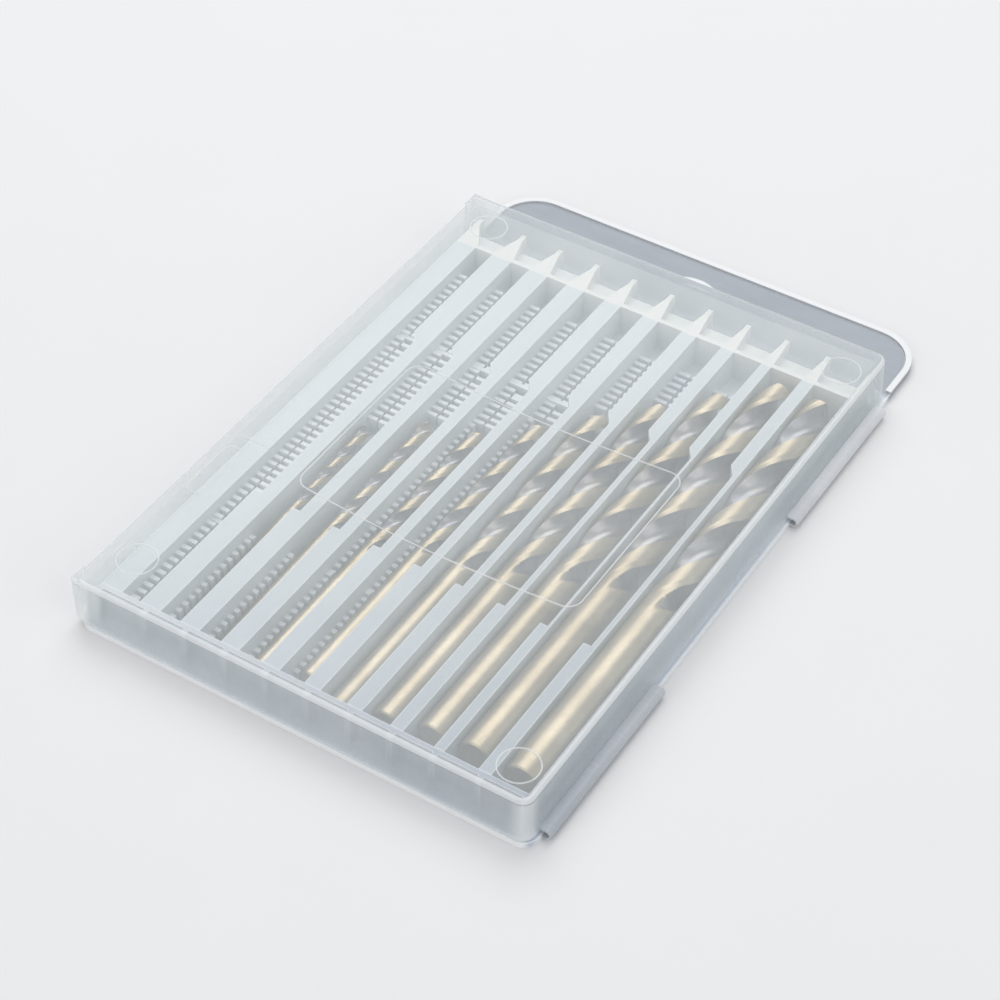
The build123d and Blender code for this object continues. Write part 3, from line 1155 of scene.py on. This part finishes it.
    def _spun(self, reach: float, angle: float, height: float) -> Vector:
        """Turn a point of the section by the helix.

        Args:
            reach: Its distance from the axis.
            angle: Its angle in the section.
            height: How far along the drill it lies.

        Returns:
            The point on the drill.
        """
        spun = angle + FULL_TURN * max(0.0, height - self.flute_start) / self.lead
        return Vector((reach * math.cos(spun), reach * math.sin(spun), height))

    def _reach(self, angle: float, depth: float) -> float:
        """Radius of the section at an angle.

        Args:
            angle: The angle in the section, in radians.
            depth: How deep the flutes are, from 0 to 1.

        Returns:
            The distance from the axis to the surface.
        """
        core = self.radius - depth * (self.radius - self.diameter * self.web_share)
        bite = self.diameter * self.bite_share
        offset = core + bite
        from_flute = math.remainder(angle - math.pi / 2, math.pi)
        inside = bite ** 2 - (offset * math.sin(from_flute)) ** 2
        land = self.radius
        if depth > 0 and from_flute < 0:
            fall = (self.relief_end + math.degrees(from_flute)) / self.relief_fade
            land *= 1 - self.relief * min(1.0, max(0.0, fall)) * depth
        if inside <= 0:
            return land
        return min(offset * math.cos(from_flute) - math.sqrt(inside), land)

    def _finish(self, drill: bpy.types.Object, axis: Matrix) -> None:
        """Give the shank and lands the gold and the flutes the grey steel.

        Args:
            drill: The drill.
            axis: Its own frame in the case.
        """
        dress(drill, Finish.GOLD, Finish.FLUTE)
        back = axis.inverted()
        flute_end = self.length - self.radius * self.flute_stop
        for face in drill.data.polygons:
            centre = back @ face.center
            inside = math.hypot(centre.x, centre.y) < self.radius * self.flute_reach
            fluted = self.flute_start < centre.z < flute_end
            face.material_index = 1 if fluted and inside else 0


@dataclass
class DrillSet:
    """The nine drills, thinnest on the left: diameter, length, flutes and front gap."""

    first_channel: int = 2
    sizes: tuple[tuple[float, float, float, float], ...] = (
        (2.0, 49.0, 24.0, 3.5),
        (2.5, 57.0, 30.0, 1.7),
        (3.0, 61.0, 33.0, 0.3),
        (3.3, 65.0, 36.0, 3.2),
        (4.0, 75.0, 43.0, 0.4),
        (4.5, 80.0, 47.0, 2.1),
        (5.0, 86.0, 52.0, 3.2),
        (5.5, 93.0, 57.0, 3.3),
        (6.0, 93.0, 57.0, 2.9),
    )

    def build(self) -> list[bpy.types.Object]:
        """Make all the drills."""
        return [TwistDrill(channel, *size).build()
                for channel, size in enumerate(self.sizes, self.first_channel)]


# The studio


@dataclass(frozen=True)
class Lamp:
    """One soft square lamp that faces the case: its place and side in metres, its watts."""

    name: str
    at: Triple
    size: float
    power: float

    def build(self) -> None:
        """Hang the lamp."""
        data = bpy.data.lights.new(self.name, "AREA")
        data.size = self.size
        data.energy = self.power
        lamp = bpy.data.objects.new(self.name, data)
        bpy.context.scene.collection.objects.link(lamp)
        lamp.location = self.at
        lamp.rotation_euler = (-Vector(self.at)).to_track_quat("-Z", "Y").to_euler()


@dataclass
class Studio:
    """Pale floor, soft lamps, pale surroundings and the camera."""

    floor_size: float = 3.0
    floor_colour: Colour = (0.80, 0.80, 0.80)
    floor_cloud_gain: float = 1.02
    floor_clouds: Grain = Grain(40.0)
    floor_roughness: float = 0.8
    floor_specular: float = 0.2
    far_colour: Colour = (0.87, 0.875, 0.88)
    fade_start: float = 0.12
    fade_end: float = 0.6
    sky_colour: Colour = (0.95, 0.97, 1.0)
    sky_strength: float = 0.42
    lamps: tuple[Lamp, ...] = (
        Lamp("lamp_top", (-0.25, 0.35, 0.75), 0.8, 5.0),
        Lamp("lamp_side", (0.7, -0.1, 0.5), 0.7, 1.8),
        Lamp("lamp_front", (-0.2, -0.8, 0.4), 0.6, 1.6),
    )
    camera_at: Triple = (196.75, -191.99, 286.78)
    look_at: Triple = (39.456, 56.83, 0.0)
    roll: float = 0.26
    lens: float = 93.15
    sensor: float = 36.0
    clip_start: float = 0.01

    def build(self) -> None:
        """Set the stage."""
        self._floor()
        self._world()
        for lamp in self.lamps:
            lamp.build()
        self._camera()

    def _floor(self) -> None:
        """Lay the floor, which fades into the surroundings away from the case."""
        half = self.floor_size / 2
        corners = [(-half, -half, 0), (half, -half, 0), (half, half, 0), (-half, half, 0)]
        floor = mesh_piece("floor", corners, [(0, 1, 2, 3)])
        sheet = SurfaceSheet("floor_paper")
        lighter = tuple(c * self.floor_cloud_gain for c in self.floor_colour)
        colour = sheet.blend(sheet.noise(self.floor_clouds), self.floor_colour, lighter)
        floor.data.materials.append(sheet.finish_with(
            Base_Color=colour, Roughness=self.floor_roughness,
            Specular_IOR_Level=self.floor_specular))
        x, y = sheet.axis("X"), sheet.axis("Y")
        away = ((x * x + y * y) ** 0.5).ramp(self.fade_start, self.fade_end)
        sheet.fade_to_glow(away * sheet.ray("Is Camera Ray"), self.far_colour)

    def _world(self) -> None:
        """Light evenly, and show the far colour to the camera and through clear plastic."""
        world = bpy.data.worlds.new("studio")
        world.use_nodes = True
        sheet = NodeSheet(world.node_tree)
        seen = sheet.ray("Is Camera Ray").or_more(sheet.ray("Is Transmission Ray"))
        sky = sheet.node("ShaderNodeBackground", {},
                         {"Color": self.sky_colour, "Strength": self.sky_strength})
        far = sheet.node("ShaderNodeBackground", {},
                         {"Color": self.far_colour, "Strength": 1.0})
        output = sheet.tree.nodes.new("ShaderNodeOutputWorld")
        sheet.feed(output.inputs["Surface"], sheet.mixed(seen, sky, far))
        bpy.context.scene.world = world
        bpy.context.scene.view_settings.view_transform = "Standard"

    def _camera(self) -> None:
        """Set the camera."""
        data = bpy.data.cameras.new("camera")
        data.lens = self.lens
        data.sensor_width = self.sensor
        data.clip_start = self.clip_start
        camera = bpy.data.objects.new("camera", data)
        bpy.context.scene.collection.objects.link(camera)
        at = place(*self.camera_at)
        facing = (place(*self.look_at) - at).to_track_quat("-Z", "Y").to_matrix().to_4x4()
        spin = Matrix.Rotation(math.radians(self.roll), 4, "Z")
        camera.matrix_world = Matrix.Translation(at) @ facing @ spin
        bpy.context.scene.camera = camera


def main() -> None:
    """Build and dress the whole case."""
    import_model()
    Studio().build()
    CaseShell().build()
    LOG.info("plate, rack and lid dressed")
    for assembly in (Hinge(), LidMarks(), DrillSet()):
        for piece in assembly.build():
            LOG.info("piece %s", piece.name)


if __name__ == "__main__":
    main()
